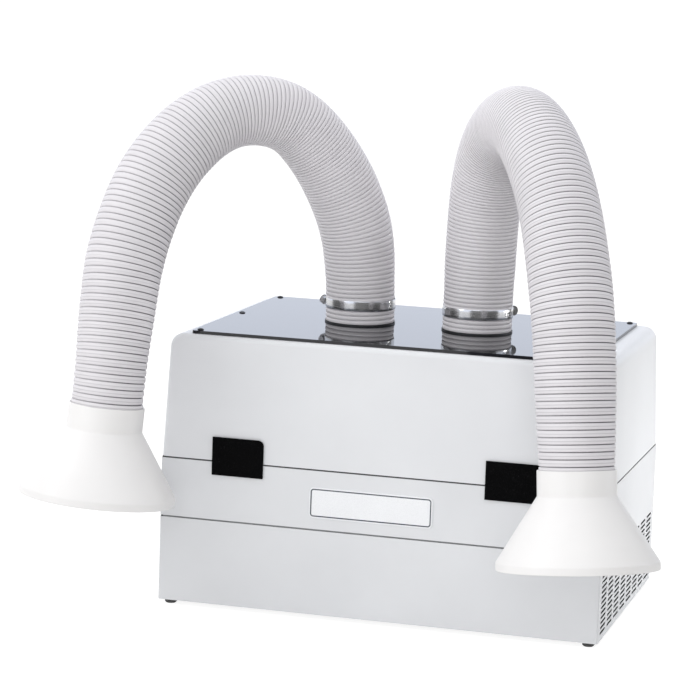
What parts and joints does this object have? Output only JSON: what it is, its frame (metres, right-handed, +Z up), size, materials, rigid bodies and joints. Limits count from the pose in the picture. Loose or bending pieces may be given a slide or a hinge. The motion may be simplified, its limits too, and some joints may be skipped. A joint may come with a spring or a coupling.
{
  "type": "bench-top fume extractor",
  "caption": "Bench-top fume extractor: white cabinet with filters and a blower, lift-off lid with a black top plate, and arched ribbed hoses that end in conical nozzles.",
  "frame": {"origin": "centre of the cabinet's footprint, on the bench under its feet", "axes": "+X to the right seen from the front, +Y to the rear, +Z up"},
  "size_m": [0.7912, 0.6022, 0.6651],
  "materials": {
    "case_white": "satin",
    "lid_white": "satin",
    "inner_metal": "matt",
    "black_acrylic": "gloss",
    "black_plastic": "matt",
    "hose_vinyl": "satin",
    "nozzle_white": "satin",
    "stainless": "brushed",
    "dark_screw": "satin",
    "textile_black": "matt",
    "rubber_black": "matt",
    "motor_metal": "cast",
    "filter_frame": "mill",
    "carbon": "granular",
    "filter_paper": "matt",
    "filter_pad": "matt",
    "pin_brass": "plated"
  },
  "bodies": {
    "cabinet": {"base_pan": "inner_metal", "rubber_feet": "rubber_black", "left_side_panel": "case_white", "right_side_panel": "case_white", "rear_panel": "case_white", "front_panel": "case_white", "front_strip": "case_white", "rim_frame": "inner_metal", "lid_seal": "rubber_black", "deck_rails": "inner_metal", "blower_deck": "inner_metal", "inlet_ring": "black_plastic", "motor_plate": "inner_metal", "motor_stator": "motor_metal", "motor_screws": "dark_screw", "filter_gasket": "rubber_black", "carbon_frame": "filter_frame", "carbon_bed": "carbon", "hepa_gasket": "rubber_black", "hepa_frame": "filter_frame", "hepa_pleats": "filter_paper", "prefilter_pad": "filter_pad", "left_tab_base": "textile_black", "right_tab_base": "textile_black", "power_inlet": "black_plastic", "inlet_pins": "pin_brass", "switch_bezel": "black_plastic"},
    "lid": {"lid_shell": "lid_white", "top_plate": "black_acrylic", "plate_screws": "dark_screw", "left_collar": "black_plastic", "right_collar": "black_plastic", "left_lock_ring": "black_plastic", "right_lock_ring": "black_plastic", "left_hook_patch": "textile_black", "right_hook_patch": "textile_black"},
    "left_arm": {"left_hose": "hose_vinyl", "left_clamp_band": "stainless", "left_clamp_housing": "stainless", "left_clamp_screw": "stainless"},
    "right_arm": {"right_hose": "hose_vinyl", "right_clamp_band": "stainless", "right_clamp_housing": "stainless", "right_clamp_screw": "stainless"},
    "left_head": {"left_nozzle": "nozzle_white"},
    "right_head": {"right_nozzle": "nozzle_white"},
    "left_tab": {"left_tab_flap": "textile_black"},
    "right_tab": {"right_tab_flap": "textile_black"},
    "rotor": {"impeller": "black_plastic", "motor_rotor": "motor_metal"},
    "switch": {"rocker": "black_plastic"}
  },
  "joints": [
    {"name": "lid_lift", "type": "slide", "parent": "cabinet", "child": "lid", "axis": [0, 0, 1], "range_m": [0, 0.25]},
    {"name": "left_arm_swivel", "type": "hinge", "parent": "lid", "child": "left_arm", "pos_m": [-0.081, 0, 0.35], "axis": [0, 0, -1], "range_deg": [-30, 75]},
    {"name": "left_arm_bend", "type": "hinge", "parent": "left_arm", "child": "left_head", "pos_m": [-0.1916, -0.1318, 0.621], "axis": [-0.766, 0.6428, 0], "range_deg": [0, 35], "deforming": ["left_hose"]},
    {"name": "right_arm_swivel", "type": "hinge", "parent": "lid", "child": "right_arm", "pos_m": [0.073, 0, 0.35], "axis": [0, 0, 1], "range_deg": [-30, 75]},
    {"name": "right_arm_bend", "type": "hinge", "parent": "right_arm", "child": "right_head", "pos_m": [0.1452, -0.1129, 0.619], "axis": [-0.8425, -0.5388, 0], "range_deg": [0, 35], "deforming": ["right_hose"]},
    {"name": "left_tab_peel", "type": "hinge", "parent": "cabinet", "child": "left_tab", "pos_m": [-0.18, -0.189, 0.188], "axis": [1, 0, 0], "range_deg": [0, 150]},
    {"name": "right_tab_peel", "type": "hinge", "parent": "cabinet", "child": "right_tab", "pos_m": [0.167, -0.189, 0.188], "axis": [1, 0, 0], "range_deg": [0, 150]},
    {"name": "impeller_spin", "type": "hinge", "parent": "cabinet", "child": "rotor", "pos_m": [0, 0, 0.05], "axis": [0, 0, 1], "continuous": true},
    {"name": "power_switch", "type": "hinge", "parent": "cabinet", "child": "switch", "pos_m": [0.15, 0.182, 0.048], "axis": [1, 0, 0], "range_deg": [0, 18]}
  ]
}
